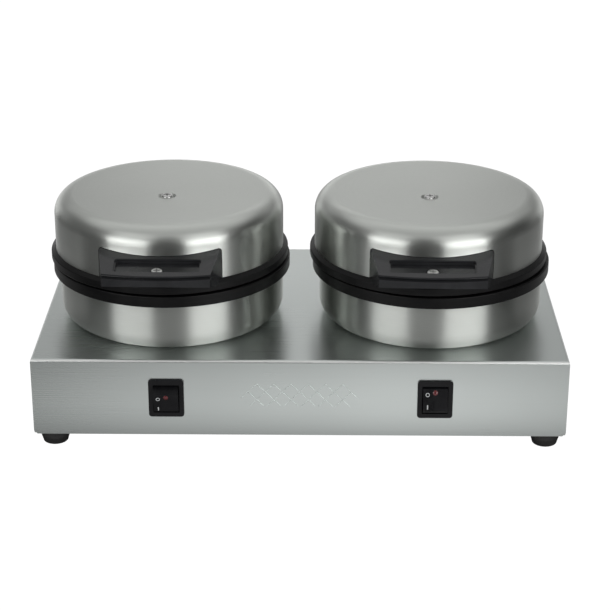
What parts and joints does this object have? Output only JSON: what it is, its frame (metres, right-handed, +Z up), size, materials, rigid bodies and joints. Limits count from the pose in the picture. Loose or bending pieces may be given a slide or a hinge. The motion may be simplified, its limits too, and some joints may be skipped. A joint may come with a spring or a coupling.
{
  "type": "waffle cone maker",
  "caption": "Two round, hinged waffle cone baking heads with black handles and rims, side by side on a low stainless deck with rocker switches and rubber feet.",
  "frame": {"origin": "on the table, under the middle of the overall box (deck, handles and rear cable gland)", "axes": "+X to the operator's right along the deck's width, +Y to the rear where the hinges are, +Z up"},
  "size_m": [0.412, 0.2732, 0.1776],
  "materials": {
    "deck_steel": "fine brushed stainless sheet, grain along the deck's width",
    "shell_steel": "satin spun stainless, grain round the shell",
    "cast_black": "cast aluminium with a satin black non-stick coating",
    "handle_black": "satin black heat-resisting moulding",
    "switch_black": "fine satin black moulding",
    "neon_red": "translucent red lens",
    "mark_white": "printed white",
    "rubber": "matt black rubber",
    "gland_black": "black polyamide",
    "fastener": "bright turned stainless steel",
    "brass": "bare brass",
    "ceramic": "unglazed off-white ceramic",
    "wire_sleeve": "woven glass-fibre sleeve",
    "element": "oxidised tubular heater sheath",
    "clamp_steel": "plain zinc-plated sheet",
    "insulation": "white ceramic-fibre blanket"
  },
  "bodies": {
    "base": {"deck_housing": "deck_steel", "base_plate": "deck_steel", "base_plate_screws": "fastener", "foot_front_left": "rubber", "foot_front_right": "rubber", "foot_rear_left": "rubber", "foot_rear_right": "rubber", "foot_screws": "fastener", "cable_gland": "gland_black", "gland_nut": "gland_black", "terminal_block": "ceramic", "earth_stud": "brass", "wiring_left": "wire_sleeve", "wiring_right": "wire_sleeve", "wire_grommets": "rubber", "switch_housing_left": "switch_black", "switch_housing_right": "switch_black", "switch_terminals": "brass", "lower_shell_left": "shell_steel", "lower_shell_right": "shell_steel", "lower_plate_left": "cast_black", "lower_plate_right": "cast_black", "lower_element_left": "element", "lower_element_right": "element", "lower_clamp_left": "clamp_steel", "lower_clamp_right": "clamp_steel", "lower_insulation_left": "insulation", "lower_insulation_right": "insulation", "thermostat_left": "ceramic", "thermostat_right": "ceramic", "head_studs": "fastener", "hinge_pin_left": "fastener", "hinge_pin_right": "fastener", "pin_clips": "fastener"},
    "lid_left": {"lid_shell_left": "shell_steel", "upper_plate_left": "cast_black", "upper_element_left": "element", "upper_clamp_left": "clamp_steel", "upper_insulation_left": "insulation", "lid_post_left": "fastener", "lid_screw_left": "fastener", "handle_left": "handle_black", "handle_screw_left": "fastener", "lid_lead_left": "wire_sleeve"},
    "rocker_left": {"rocker_left": "switch_black", "neon_lens_left": "neon_red", "rocker_marks_left": "mark_white"},
    "lid_right": {"lid_shell_right": "shell_steel", "upper_plate_right": "cast_black", "upper_element_right": "element", "upper_clamp_right": "clamp_steel", "upper_insulation_right": "insulation", "lid_post_right": "fastener", "lid_screw_right": "fastener", "handle_right": "handle_black", "handle_screw_right": "fastener", "lid_lead_right": "wire_sleeve"},
    "rocker_right": {"rocker_right": "switch_black", "neon_lens_right": "neon_red", "rocker_marks_right": "mark_white"}
  },
  "joints": [
    {"name": "lid_hinge_left", "type": "hinge", "parent": "base", "child": "lid_left", "pos_m": [-0.10375, 0.09037, 0.12435], "axis": [-1, 0, 0], "range_deg": [0, 95]},
    {"name": "lid_hinge_right", "type": "hinge", "parent": "base", "child": "lid_right", "pos_m": [0.10375, 0.09037, 0.12435], "axis": [-1, 0, 0], "range_deg": [0, 95]},
    {"name": "rocker_left_tilt", "type": "hinge", "parent": "base", "child": "rocker_left", "pos_m": [-0.1026, -0.11818, 0.04285], "axis": [1, 0, 0], "range_deg": [-32, 0]},
    {"name": "rocker_right_tilt", "type": "hinge", "parent": "base", "child": "rocker_right", "pos_m": [0.104, -0.11818, 0.04285], "axis": [1, 0, 0], "range_deg": [0, 32]}
  ]
}
